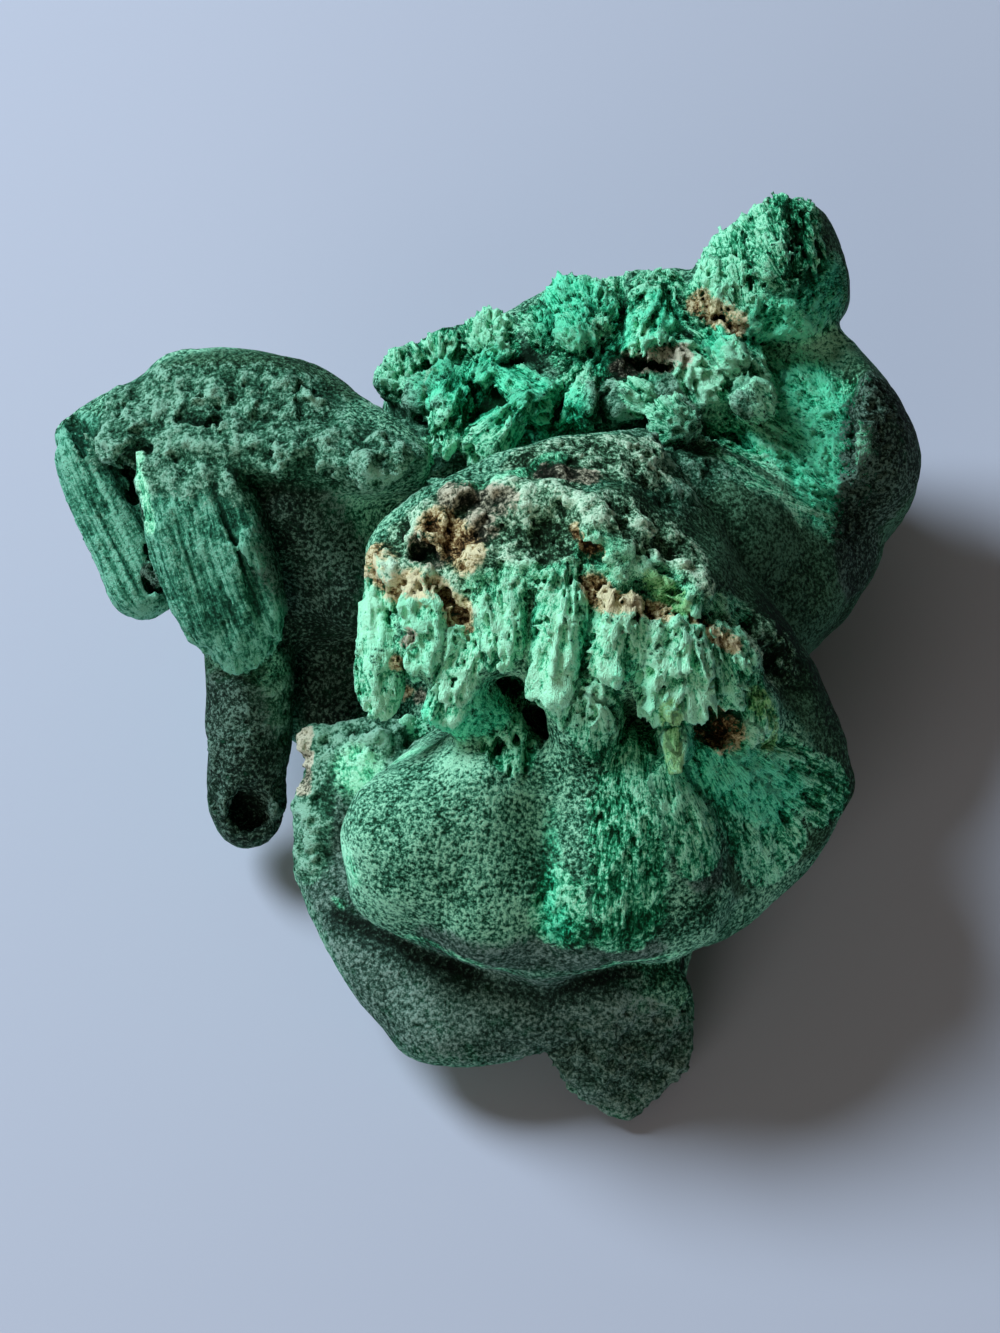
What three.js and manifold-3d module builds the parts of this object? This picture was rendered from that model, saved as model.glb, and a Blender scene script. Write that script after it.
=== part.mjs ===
// A stalactitic malachite specimen: rounded stalactite lobes grown together in one piece, broken open along
// a crest so that the radiating fibres inside show, and cut off flat underneath, where it came away from
// the rock.
//
// The specimen is described as it is looked at, from in front and above. A place is [right, up, height]:
// right and up are millimetres across and up the view, read in the middle of the specimen, and height is
// millimetres above the table. A ball is a place with a radius after it.
import * as THREE from "three";
import { ConvexGeometry } from "three/addons/geometries/ConvexGeometry.js";
import { ImprovedNoise } from "three/addons/math/ImprovedNoise.js";
import { SimplifyModifier } from "three/addons/modifiers/SimplifyModifier.js";
import { mergeVertices } from "three/addons/utils/BufferGeometryUtils.js";
import Module from "manifold-3d";

// The eye, and the height of the point of the specimen that it looks at.
const EYE_DISTANCE = 315;
const EYE_ELEVATION = THREE.MathUtils.degToRad(55);
const MIDDLE = 26;

// Heights above the table.
const CREST = 47;
const CRUST = 39;
const RIM = 23;
const HANG = 25;

// How far apart the vertices of a form lie: a hidden one, a rounded one, an angular one, a bundle of fibres
// and a lump.
const HIDDEN = 5;
const ROUND = 3.2;
const ANGULAR = 3;
const BUNDLE = 2.2;
const KNOB = 2.2;

// The splinters that stand out of a bundle of fibres, how far out their ends lie, as a share of the bundle's
// radius there, and how far their tips run on past those ends.
const SPLINTERS = 5;
const SPLINTER_RAISE = 0.6;
const SPLINTER_TIP = 1;

// The width of the box that cuts away everything below the table.
const TABLE = 200;

// The triangles that the finished surface is brought down to.
const MOST_TRIANGLES = 9800;

// How far apart the random numbers of two neighbouring seeds start.
const DICE_STEP = 107;

const wasm = await Module();
wasm.setup();
const perlin = new ImprovedNoise();

const SIN = Math.sin(EYE_ELEVATION);
const COS = Math.cos(EYE_ELEVATION);

// The place in the part's frame of a point seen at right and up that is height above the table.
function seen([right, up, height]) {
  const share = (EYE_DISTANCE * SIN + MIDDLE - height) / (EYE_DISTANCE * SIN - up * COS);
  const nearer = EYE_DISTANCE * (1 - share);
  return new THREE.Vector3(right * share, up * share * SIN - nearer * COS, height);
}

// A geometry with shared vertices and nothing but positions.
function bareOf(geometry) {
  const bare = new THREE.BufferGeometry();
  bare.setAttribute("position", geometry.attributes.position);
  bare.setIndex(geometry.index);
  return mergeVertices(bare, 1e-4);
}

// A closed geometry as a solid that can be joined and cut.
function solidOf(geometry) {
  const merged = bareOf(geometry);
  return new wasm.Manifold(
    new wasm.Mesh({
      numProp: 3,
      vertProperties: merged.attributes.position.array,
      triVerts: new Uint32Array(merged.index.array),
    }),
  );
}

const join = (solids) => solids.reduce((a, b) => a.add(b));

// Moves each vertex by move(vertex), which changes the vector that it is given.
function reshape(geometry, move) {
  const position = geometry.attributes.position;
  const vertex = new THREE.Vector3();
  for (let i = 0; i < position.count; i++) {
    move(vertex.fromBufferAttribute(position, i));
    position.setXYZ(i, vertex.x, vertex.y, vertex.z);
  }
  return geometry;
}

// A sphere of triangles whose edges are about spacing long once it has a radius of reach. An icosahedron's
// edge is about as long as its radius, and each step of detail cuts it once more.
function sphere(reach, spacing) {
  const cuts = Math.max(2, Math.round(reach / spacing));
  return new THREE.IcosahedronGeometry(1, cuts - 1);
}

// Noise between about -1 and 1 whose swells are about size across.
function swell(v, size, seed) {
  return 1.6 * perlin.noise(v.x / size + seed, v.y / size - seed, v.z / size + 2.3 * seed);
}

// Random numbers between two values, the same ones each time for a seed.
function dice(seed) {
  THREE.MathUtils.seededRandom(DICE_STEP * (seed + 1));
  return (least, most) => least + (most - least) * THREE.MathUtils.seededRandom();
}

// The skin stretched around balls, as a geometry.
function hullOf(balls) {
  const dots = balls.flatMap(([right, up, height, radius]) => {
    const centre = seen([right, up, height]);
    const { x, y, z } = centre;
    const ball = new THREE.IcosahedronGeometry(radius, 1).translate(x, y, z).attributes.position;
    return Array.from({ length: ball.count }, (_, i) => new THREE.Vector3().fromBufferAttribute(ball, i));
  });
  return new ConvexGeometry(dots);
}

// A boulder: the skin around balls, made uneven by rough millimetres in swells of grain millimetres.
function boulder(balls, { rough = 0.5, grain = 7, seed = 0, spacing = ROUND } = {}) {
  const hull = hullOf(balls);
  hull.computeBoundingBox();
  const middle = hull.boundingBox.getCenter(new THREE.Vector3());
  const half = hull.boundingBox.getSize(new THREE.Vector3()).multiplyScalar(0.5);
  const faces = hull.translate(-middle.x, -middle.y, -middle.z).attributes.position;
  const planes = [];
  for (let i = 0; i < faces.count; i += 3) {
    const [a, b, c] = [0, 1, 2].map((k) => new THREE.Vector3().fromBufferAttribute(faces, i + k));
    planes.push(new THREE.Plane().setFromCoplanarPoints(a, b, c));
  }
  const skin = sphere((half.x + half.y + half.z) / 3, spacing);
  reshape(skin, (v) => {
    v.multiply(half);
    let share = Infinity;
    for (const { normal, constant } of planes) {
      const facing = normal.dot(v);
      if (facing > 1e-6) share = Math.min(share, -constant / facing);
    }
    v.multiplyScalar(share);
    v.multiplyScalar(1 + (rough / v.length()) * swell(v, grain, seed));
    v.add(middle);
  });
  return solidOf(skin);
}

// A small lump or a round cutter: a ball, made uneven.
function lump([right, up, height, radius], { rough = 0.2, seed = 0, spacing = KNOB } = {}) {
  const middle = seen([right, up, height]);
  const skin = sphere(radius, spacing);
  reshape(skin, (v) => {
    v.multiplyScalar(radius * (1 + rough * swell(v, 0.8, seed))).add(middle);
  });
  return solidOf(skin);
}

// Turns a geometry that stands along Y to run from one point to another.
function between(geometry, from, to) {
  const axis = to.clone().sub(from).normalize();
  const turn = new THREE.Quaternion().setFromUnitVectors(new THREE.Vector3(0, 1, 0), axis);
  const middle = from.clone().lerp(to, 0.5);
  return geometry.applyQuaternion(turn).translate(middle.x, middle.y, middle.z);
}

// A stalactite from one place to another, across and deep millimetres in its half widths, rolled by roll
// degrees.
function stalactite({ from, to, across, deep = across, roll = 0, rough = 0.1, seed = 0, sides = 12 }) {
  const [start, end] = [from, to].map(seen);
  const straight = start.distanceTo(end) - 2 * across;
  const geometry = new THREE.CapsuleGeometry(across, straight, 3, sides, Math.round(straight / ROUND));
  reshape(geometry, (v) => {
    const uneven = 1 + rough * swell(v, 7, seed);
    v.x *= uneven;
    v.z *= (uneven * deep) / across;
  });
  geometry.rotateY(THREE.MathUtils.degToRad(roll));
  return solidOf(between(geometry, start, end));
}

// A bundle of fibres: a small boulder whose first two balls are its top and the next two its lower end,
// with splinters pointed at both ends running down it on the side of the eye.
function bundle(balls, seed, splinters = SPLINTERS) {
  const body = boulder(balls, { rough: 0.6, grain: 2.4, seed, spacing: BUNDLE });
  const [topLeft, topRight, lowLeft, lowRight] = balls.map(([right, up, height, radius]) => {
    return seen([right, up, height + SPLINTER_RAISE * radius]);
  });
  const random = dice(seed);
  const ribs = [];
  for (let i = 0; i < splinters; i++) {
    const share = (i + random(0.1, 0.9)) / splinters;
    const top = topLeft.clone().lerp(topRight, share);
    const low = lowLeft.clone().lerp(lowRight, share + random(-0.2, 0.2)).lerp(top, random(-0.1, 0.35));
    top.lerp(low, random(-0.1, 0.4));
    const half = 0.5 * top.distanceTo(low) + SPLINTER_TIP;
    const rib = new THREE.IcosahedronGeometry(1).scale(random(0.9, 1.7), half, random(0.8, 1.3));
    ribs.push(solidOf(between(rib.rotateY(random(0, Math.PI)), top, low)));
  }
  return join([body, ...ribs]);
}

// Small lumps scattered over the patch between four places: left, right, far right and far left.
function crumbs([left, right, farRight, farLeft], { rows, columns, radius, seed }) {
  const random = dice(seed);
  const mix = (p, q, share) => p.map((value, k) => value + share * (q[k] - value));
  const lumps = [];
  for (let row = 0; row < rows; row++) {
    for (let column = 0; column < columns; column++) {
      const across = (column + random(0, 1)) / columns;
      const along = (row + random(0, 1)) / rows;
      const place = mix(mix(left, right, across), mix(farLeft, farRight, across), along);
      lumps.push(lump([...place, radius * random(0.7, 1.3)], { seed: seed + lumps.length }));
    }
  }
  return lumps;
}

// The two front lobes and the wing at their right, with their rounded skins.
const frontLeft = boulder(
  [
    [-9.3, -16.8, 28, 6.6], [-2.5, -14, 29, 6.6], [-9, -20.6, RIM, 6.9], [-1.5, -23, RIM, 7.2],
    [1.5, -17, 26, 5], [-3, -12, 16, 7], [-6, -18, 13, 7],
  ],
  { seed: 1.3 },
);
const frontRight = boulder(
  [
    [9.6, -16, 28, 5.4], [15, -12.6, 30, 6.2], [9, -23.2, RIM, 6.9], [17, -22.5, 21, 7],
    [14, -12, 16, 8],
  ],
  { seed: 4.1 },
);
const wing = boulder(
  [
    [34, -12.4, 20, 2.4], [32.2, -6, 25, 2.4], [29.8, 0.4, 30, 1.8], [28.3, -18.5, 15, 3.6],
    [20, -22.4, 16, 6.2],
    [19, -9, 32.5, 3.5], [25, 0, 32, 3], [24, 0, 18, 6], [20, -12, 10, 6], [27, -10, 9, 5],
  ],
  { seed: 2.6, rough: 0.4, spacing: ANGULAR },
);

// The lower lobe, its pale left edge, and the splinter of rock that it stands on.
const lowerLobe = boulder(
  [
    [-17.6, -20.8, 12, 3.9], [-12.6, -27.6, 10, 5.2], [-6, -35.6, 8, 5.1], [2, -34, 9, 5.6],
    [12, -27, 9, 8],
    [-4, -18, 8, 8], [-15, -12, 12, 4],
  ],
  { seed: 8.2 },
);
const lowerEdge = [
  boulder(
    [[-17.6, -8.4, 19, 2.2], [-18, -15, 16, 3], [-18.9, -20.5, 13, 2.5], [-11, -7.4, 21, 3.4],
      [-12, -14, 10, 4]],
    { seed: 3.9, rough: 0.5, grain: 4, spacing: ANGULAR },
  ),
  lump([-18.6, -7.4, 20, 2.1], { seed: 4 }),
];
const foot = boulder(
  [
    [5.2, -38.6, 7, 0.8], [8.2, -43.2, 3, 0.8], [11.8, -46.4, 1, 0.8], [15, -44, 1.5, 0.8],
    [18.4, -41, 3, 0.8],
    [19, -30.6, 12, 0.8], [10, -31, 15, 1], [3, -34, 12, 1], [8, -32, 1, 1], [17, -33, 1, 1],
  ],
  { seed: 5.2, rough: 0.6, grain: 5, spacing: ANGULAR },
);

// The crest that the specimen broke along. Its top leans towards the eye, and the cliff falls from it to
// the lobes.
const crest = boulder(
  [
    [-13.6, 13.2, 44, 0.8], [-12.4, 9, 44, 0.8], [-5, 18.6, CREST, 1], [4, 22, CREST, 1], [13.4, 24, 45, 1],
    [10.5, 17.8, 48.5, 1], [19, 10.4, 44, 0.9], [25, 5.4, 38.5, 0.9], [30.2, 0.6, 31, 0.9],
    [-8.6, 7.4, 44, 1], [-3, 7.4, 45, 1], [4, 8.4, 46.5, 1], [11, 8.4, 47, 1],
    [-10.8, 0.6, 34, 2], [-2, -1, 34, 2], [10, -1.6, 35, 2], [19, -4, 33, 2.4], [26, -4, 27, 2.4],
    [2, 8, 20, 8], [15, 10, 20, 8],
  ],
  { seed: 0.7, rough: 0.9, grain: 4, spacing: 3.2 },
);
const crestKnobs = [
  ...crumbs(
    [[-12, 9.4, 44.4], [7.4, 9.4, 47.6], [10.6, 17, 48.8], [-4.6, 17.4, 47.4]],
    { rows: 4, columns: 6, radius: 1.8, seed: 3 },
  ),
  ...crumbs(
    [[10, 8.4, 47.6], [21.6, 4.6, 42], [17.6, 11.4, 45.6], [10, 16, 48.6]],
    { rows: 3, columns: 4, radius: 1.8, seed: 5 },
  ),
];

// The smooth dark skin that runs from behind the crest around the right lobe.
const saddle = boulder(
  [
    [16, 18.6, 36, 5], [22, 13.4, 33, 5.5], [28.6, 6, 25, 4.6], [31.4, 9.6, 22, 5.6], [33.6, 13.4, 22, 5.8],
    [20, 10, 24, 7], [26, 4, 14, 6], [20, 18, 12, 8], [32, 12, 12, 6],
  ],
  { seed: 2.2 },
);

// The right lobe, and the broken face of it that looks up and to the left.
const rightLobeWhole = boulder(
  [
    [35.3, 26.5, 33, 4.2], [35.6, 20.5, 28, 7.6], [32, 24, 34, 6.4], [34, 19, 20, 7], [26, 24, 26, 8],
    [31, 31, 35, 4.6], [30, 28, 20, 7], [34, 15, 14, 6],
  ],
  { seed: 9.4 },
);
const brokenFace = boulder(
  [
    [36.8, 38, 35.6, 0.5], [33.6, 25, 40.6, 0.5], [34.6, 13.6, 31, 0.5], [19.6, 23.4, 35.6, 0.5],
    [24.4, 36, 36, 0.5],
    [37, 38, 60, 1], [34, 13, 60, 1], [18, 23, 60, 1], [24, 38, 60, 1],
  ],
  { seed: 4, rough: 0.4, grain: 5, spacing: ANGULAR },
);
const rightLobe = rightLobeWhole.subtract(brokenFace);

// The spike at the upper right.
const spike = boulder(
  [
    [20.4, 40.6, 37, 0.7], [24, 44.8, 41, 0.7], [28.4, 47.9, 44, 0.6], [32, 47.2, 43, 0.6],
    [33.4, 41.4, 38, 0.8],
    [35, 36.4, 33, 1], [29, 38, 42, 1], [19, 36, 37, 1], [24, 33, 37, 1], [31, 33, 36, 1],
    [22, 36, 24, 2], [33, 36, 24, 2],
  ],
  { seed: 6.6, rough: 0.5, grain: 4, spacing: 3 },
);

// The upper crust behind the crest: its body, and the knobs and fans of fibres that stand out of it.
const upperBody = boulder(
  [
    [-8.8, 28.2, 32, 3], [-2, 29.6, 33, 3.8], [6, 34, 34, 4.2], [12, 34.8, 35, 3.8], [18, 36.2, 34, 3.6],
    [14, 28, 35, 5], [22, 28, 34, 6], [2, 24, 32, 5], [-6, 22, 33, 4], [4, 26, 20, 8], [18, 28, 20, 8],
  ],
  { seed: 5.5, rough: 0.8, grain: 5 },
);
const knobs = [
  [-11, 28.4, CRUST - 4, 2.2], [-9.6, 30.2, CRUST - 4, 2.5], [-8, 27, CRUST - 3, 2.4],
  [-5.4, 31.6, CRUST - 4, 3],
  [-0.9, 32.6, CRUST - 3, 3.2], [2.8, 31.6, CRUST - 3, 2.8], [13.6, 37.4, CRUST - 3, 2.6],
  [17, 38, CRUST - 3, 2.5],
  [24.6, 34.2, CRUST - 1, 2.2], [22.8, 30.4, CRUST - 1, 2.4], [25, 26.6, CRUST - 2, 2.6],
  [17.6, 24, CRUST, 2.8], [12.6, 26.8, CRUST, 2.6],
].map((ball, i) => lump(ball, { seed: i }));
const fans = [
  [[-6.6, 29.6, 38, 1], [-4.6, 29.4, 38.6, 1], [-6, 23.8, 39.6, 1.5], [-5, 21.4, 39.4, 1.1],
    [-3.2, 26, 34, 2]],
  [[-2.8, 28.6, 38, 1], [0.4, 32.2, 39.2, 1], [0.2, 29, 38.8, 1.2], [-1, 29, 34, 1.8]],
  [[0.2, 29.6, 39, 1.1], [5, 27.6, 39.4, 1.3], [4.6, 25.2, 39.4, 1.1], [1.6, 26.4, 40.2, 1.3],
    [2.6, 27, 34, 2]],
  [[1, 25.4, 39.6, 0.9], [-3.4, 22.4, 40.2, 1.1], [-1.4, 20.6, 40, 1], [0.8, 21.6, 40.4, 1.2],
    [-1, 23, 34, 2.4]],
  [[6.8, 36.6, 37.6, 2.6], [9.6, 36.2, 38.6, 2.4], [7.6, 33, 39.6, 2.4], [11, 33.6, 39.6, 1.4],
    [8, 34, 32, 3]],
  [[8.8, 29, 39.2, 1], [6.2, 25.4, 39.4, 1], [9, 24.6, 40.2, 1.1], [8, 27, 34, 2.4]],
  [[13.4, 36.4, 38.4, 1.2], [16, 37.2, 38, 1.3], [13.4, 31.4, 39.6, 1.4], [16.4, 32.6, 39.6, 1.4],
    [15, 34, 32, 3]],
  [[20.2, 39.6, 37.6, 1.1], [22.6, 42.8, 40.6, 1.1], [23.8, 37, 40.4, 1.4], [20.4, 35, 38, 1.2],
    [22, 37, 32, 2.4]],
  [[25.8, 45.2, 42.8, 1.1], [28.2, 46.4, 44, 1], [28.6, 40.6, 43.2, 1.4], [25.6, 39.2, 41.6, 1.3],
    [27, 42, 36, 2.4]],
].map((balls, i) => bundle(balls, i + 20));

// The left block: a thick crust with two stalactites hanging from it, and the wall behind the hollow at its
// right.
const leftCrust = boulder(
  [
    [-44, 22.6, 34, 1.6], [-40, 26, 35, 1.8], [-36.6, 26.6, 37, 2], [-31.4, 29.6, 37, 2],
    [-25, 29.2, 38, 2], [-18.6, 28.6, 38, 2], [-15.6, 25.6, 39, 2], [-8.4, 21.4, 42, 1.8],
    [-8, 19, 42, 1.6],
    [-14, 19.6, 42, 1.8], [-24, 21.4, 41, 2.4], [-32, 21.8, 40, 2.6], [-38, 23, 38, 2],
    [-39, 21, 30, 3], [-26, 20, 26, 4], [-12, 18, 26, 4],
  ],
  { seed: 3.3, rough: 0.9, grain: 5, spacing: 3.4 },
);
const leftCrumbs = crumbs(
  [[-40, 22, 39.4], [-9, 19.4, 44], [-14.6, 26, 41.6], [-38, 27, 38.4]],
  { rows: 3, columns: 9, radius: 1.9, seed: 7 },
);
const leftRods = [
  stalactite({ from: [-42, 24, 36], to: [-34.4, 5, HANG], across: 3.3, deep: 4, roll: 20, seed: 1 }),
  boulder(
    [
      [-35.2, 19.4, 39.4, 2.4], [-27.4, 19.8, 40, 2.4], [-25.2, 12, 36, 2.4], [-33.4, 13, 35.6, 2.4],
      [-30, 4.2, HANG + 4, 2.6], [-22.8, 5.6, HANG + 5.6, 2.4], [-25.8, 1, HANG + 1.6, 2.2],
      [-22.8, 3, HANG + 3, 2.2], [-29, 12, 30, 4],
    ],
    { seed: 2.7, rough: 0.3, spacing: ANGULAR },
  ),
];
const leftWall = [
  boulder(
    [[-20, 17, 34, 6], [-16, 8, 24, 6], [-20, 6, 18, 6], [-10, 12, 20, 8], [-24, 10, 22, 5]],
    { seed: 6.1, spacing: 5 },
  ),
  boulder([[-14, 0, 12, 7], [-20, -2, 9, 6], [-10, -6, 10, 8]], { seed: 6.4, spacing: HIDDEN }),
];
const paleLobe = lump([-14.6, 7.6, 27, 4.2], { seed: 5, rough: 0.1 });
const darkStalactite = stalactite({
  from: [-25, 6, 24], to: [-25.2, -18.2, 4.6], across: 4.5, deep: 5, seed: 3,
});

// The body that holds everything together, and the lobes of its hidden back.
const core = boulder(
  [
    [-14, 3, 6, 8], [-6, -25, 6, 7], [7, -23, 6, 8], [22, -6, 6, 9], [24, 12, 7, 10], [4, 14, 7, 10],
    [-8, 12, 8, 9], [22, 22, 16, 10], [2, 18, 16, 10], [6, 6, 24, 10],
  ],
  { seed: 0.4, spacing: HIDDEN },
);
const backLobes = [
  [[-30, 24, 27, 5], [-26, 20, 17, 5], [-20, 24, 26, 7], [-16, 16, 12, 7]],
  [[-6, 26, 22, 7], [-4, 16, 6, 8], [0, 27, 26, 6]],
  [[12, 28, 24, 7], [12, 18, 6, 9], [8, 29, 28, 5]],
  [[28, 33, 26, 6], [26, 20, 6, 9], [24, 33, 31, 4]],
].map((balls, i) => boulder(balls, { seed: 7 + i, spacing: HIDDEN - 1 }));

// The bundles of fibres down the cliff, from left to right.
const cliff = [
  [[-13.2, 8.8, 42, 1], [-12, 8.4, 42.4, 1], [-13, -3.2, 37, 1.8], [-11, -3.8, 36.4, 1.6],
    [-12.4, 2, 40, 1.8],
    [-11, 4, 36, 2]],
  [[-9.6, 6.6, 44, 1.1], [-6.4, 6.6, 44, 1.1], [-8.6, 0.2, 41.4, 1.6], [-6.4, 0.4, 41, 1.5],
    [-7.5, 3, 34, 2.6]],
  [[-4.8, 3.4, 42, 1], [-2.6, 3, 42.4, 1], [-6.9, -4.6, 38, 1.3], [-4.6, -5.6, 37.4, 1.3],
    [-2.6, -1, 41, 1.3],
    [-4, 0, 33, 2.6]],
  [[-1.8, 7.4, 45.2, 1.2], [1.6, 7.4, 45.8, 1.2], [-1, 0.6, 42.6, 1.6], [1.6, 0.8, 42.4, 1.4],
    [0, 3, 34, 2.6]],
  [[5.2, 7.8, 46.6, 1.4], [7.6, 7.4, 46.2, 1.4], [4, -2.9, 41.2, 1.6], [7, -2.4, 41.8, 1.5],
    [6.2, 1, 34, 3]],
  [[10.6, 7, 46, 1.4], [13, 6, 45.6, 1.4], [9.4, -1, 42.4, 1.5], [12.4, -1.2, 42, 1.5], [11, 1, 34, 3]],
  [[6.8, -2.6, 40.4, 1.2], [10.6, -2.8, 40.4, 1.4], [6.2, -5.6, 38, 1.1], [9.2, -6.2, 37.8, 1.3],
    [9, -3, 31, 2.6]],
  [[15.4, 4.6, 44.2, 1.3], [19.8, 2.8, 43.2, 1.6], [14.6, -3, 40.6, 1.5], [20.6, -4.2, 39, 1.6],
    [17, -5, 38.8, 1.5], [18, -1, 31, 3]],
  [[16.6, -5, 37.8, 0.9], [18.8, -5.6, 37, 0.9], [17, -10, 35.6, 0.9], [18, -10, 35.4, 0.9],
    [18, -7, 31, 1.6]],
  [[24.6, -3, 35.8, 1.2], [26.6, -3.4, 35, 1.3], [25, -7.2, 33, 1.2], [26.8, -6.4, 33.4, 1.3],
    [25.6, -3, 28, 2.4]],
  [[21, 3.8, 41.8, 1.3], [25, 1, 38.4, 1.6], [21.8, -3, 38, 1.7], [25, -2, 36.8, 1.6], [22.6, 0, 30, 3]],
].map((balls, i) => bundle(balls, i));
const facet = bundle(
  [[-6, -6.8, 36, 0.8], [-1, -3.2, 39, 0.8], [-3, -7.8, 35.6, 0.8], [1.6, -4.4, 38.4, 0.8],
    [0.6, -6.8, 36.4, 0.8],
    [-2, -4, 30, 2.5]],
  4,
  0,
);

// What is broken out of the specimen: each is a cutter.
const hollows = [
  lump([3.2, -9, 36.4, 3], { seed: 1, rough: 0.15 }),
  lump([21.6, -6.2, 37.4, 2.6], { seed: 2 }),
  lump([-6.4, 6.6, 47, 1.5], { seed: 3 }),
  lump([10.4, 8.6, 49.4, 1.4], { seed: 4 }),
  lump([-25.2, -14.6, 11.6, 2.7], { seed: 5, rough: 0.15 }),
  boulder(
    [[12, 30.6, 41, 0.7], [18.4, 29.6, 42, 0.7], [16, 29.8, 36, 0.7]],
    { seed: 2, rough: 0.3, spacing: BUNDLE },
  ),
  lump([4.6, 14.2, 50.6, 4.4], { seed: 3, rough: 0.1 }),
];

const grown = join([
  frontLeft, frontRight, wing, lowerLobe, ...lowerEdge, foot,
  crest, ...crestKnobs, ...cliff, facet, saddle, rightLobe, spike,
  upperBody, ...knobs, ...fans,
  leftCrust, ...leftCrumbs, ...leftRods, ...leftWall, paleLobe, darkStalactite,
  core, ...backLobes,
]);

// Everything below the table is cut away.
const below = solidOf(new THREE.BoxGeometry(TABLE, TABLE, TABLE).translate(0, 0, -TABLE / 2));
const specimen = [...hollows, below].reduce((solid, cutter) => solid.subtract(cutter), grown);

// A solid's surface as a geometry with shared vertices.
function geometryOf(solid) {
  const { vertProperties, triVerts } = solid.getMesh();
  const geometry = new THREE.BufferGeometry();
  geometry.setAttribute("position", new THREE.BufferAttribute(vertProperties, 3));
  geometry.setIndex(new THREE.BufferAttribute(triVerts, 1));
  return bareOf(geometry);
}

// A solid as a mesh in the part's frame, with no more than MOST_TRIANGLES, and without the skins of the small
// pockets that its forms close in between them.
async function meshOf(name, solid, material) {
  const full = geometryOf(solid);
  const spare = full.attributes.position.count * (1 - (3 * MOST_TRIANGLES) / full.index.count);
  const light = await new SimplifyModifier().modify(full, Math.max(0, Math.ceil(spare)));
  const bodies = solidOf(light).decompose();
  const outside = bodies.reduce((a, b) => (a.volume() > b.volume() ? a : b));
  const geometry = geometryOf(outside);
  geometry.computeVertexNormals();
  const mesh = new THREE.Mesh(geometry, material);
  mesh.name = name;
  return mesh;
}

const malachite = new THREE.MeshStandardMaterial({ color: 0x2f8f63, roughness: 0.85, metalness: 0 });
const root = new THREE.Group();
root.add(await meshOf("malachite", specimen, malachite));
export default root;
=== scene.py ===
import math

import bpy
import numpy as np
import openvdb
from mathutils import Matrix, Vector
from mathutils.bvhtree import BVHTree


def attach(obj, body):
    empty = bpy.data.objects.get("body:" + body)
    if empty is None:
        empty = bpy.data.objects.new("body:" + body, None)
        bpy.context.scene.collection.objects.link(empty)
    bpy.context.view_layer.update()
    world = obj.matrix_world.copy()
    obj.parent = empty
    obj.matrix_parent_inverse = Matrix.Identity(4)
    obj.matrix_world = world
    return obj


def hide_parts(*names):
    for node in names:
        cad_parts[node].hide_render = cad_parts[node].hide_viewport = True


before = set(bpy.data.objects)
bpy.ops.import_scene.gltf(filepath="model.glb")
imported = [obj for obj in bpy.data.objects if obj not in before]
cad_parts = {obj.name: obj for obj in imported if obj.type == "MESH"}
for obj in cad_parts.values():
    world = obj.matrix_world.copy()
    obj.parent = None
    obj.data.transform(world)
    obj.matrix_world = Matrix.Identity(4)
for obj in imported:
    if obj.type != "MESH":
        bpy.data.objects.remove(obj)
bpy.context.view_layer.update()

MM = 0.001
NODE = "malachite"
BODY = "root"

# The eye's distance from the point that it looks at, how steeply it looks down, the height of that point
# above the origin, and the camera's lens.
EYE_DISTANCE = 315
EYE_ELEVATION = math.radians(55)
MIDDLE = 26
LENS = 85

# Spacings of the grid that the surface is carved on and of the coarser one that masks are worked out on, how
# far from the surface the grid knows distances, and the room around the solid.
VOXEL = 0.3
COARSE = 1.2
BAND = 3.0
MARGIN = 2.4

# The most triangles in the specimen's surface.
MOST_TRIANGLES = 196000

# The direction from the specimen to the eye, and where the eye is.
BACK = np.array([0, -math.cos(EYE_ELEVATION), math.sin(EYE_ELEVATION)])
EYE = np.array([0, 0, MIDDLE]) + EYE_DISTANCE * BACK

# Bundles of fibres: root, tip, radius, how far the fibres' common centre lies behind the root as a share of
# the bundle's length, and the width of a strand.
CLIFF = [
    ((-12.5, 9.5), (-12, -4.5), 2.2, 1.0, 0.9),
    ((-9, 3), (-8.6, -6.5), 1.4, 1.0, 0.8),
    ((-8, 6.5), (-8, 0.5), 2.6, 1.0, 0.9),
    ((-3.5, 2.5), (-5.8, -5.5), 2.2, 1.5, 0.9),
    ((0.3, 7), (0.3, 0.5), 2.2, 1.0, 0.8),
    ((6.5, 7.5), (5, -3.5), 2.8, 0.8, 0.9),
    ((12, 6), (10.5, -1.5), 2.8, 0.8, 0.9),
    ((10, -2), (7.5, -6.5), 2.4, 1.0, 0.9),
    ((18.5, 4.5), (16, -4.5), 3.0, 0.7, 0.9),
    ((19.5, 2), (20.5, -4.5), 3.0, 0.8, 0.9),
    ((17.5, -4.5), (17.6, -10), 1.4, 2.0, 0.8),
    ((25.5, -2.5), (26.2, -7.5), 2.0, 1.0, 0.8),
    ((21.5, 3.5), (23.5, -3), 3.0, 0.8, 0.7),
    ((9, -4), (9.2, -10), 2.4, 1.0, 0.8),
    ((1.4, -3), (0.8, -9), 2.4, 1.0, 0.8),
]
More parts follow.
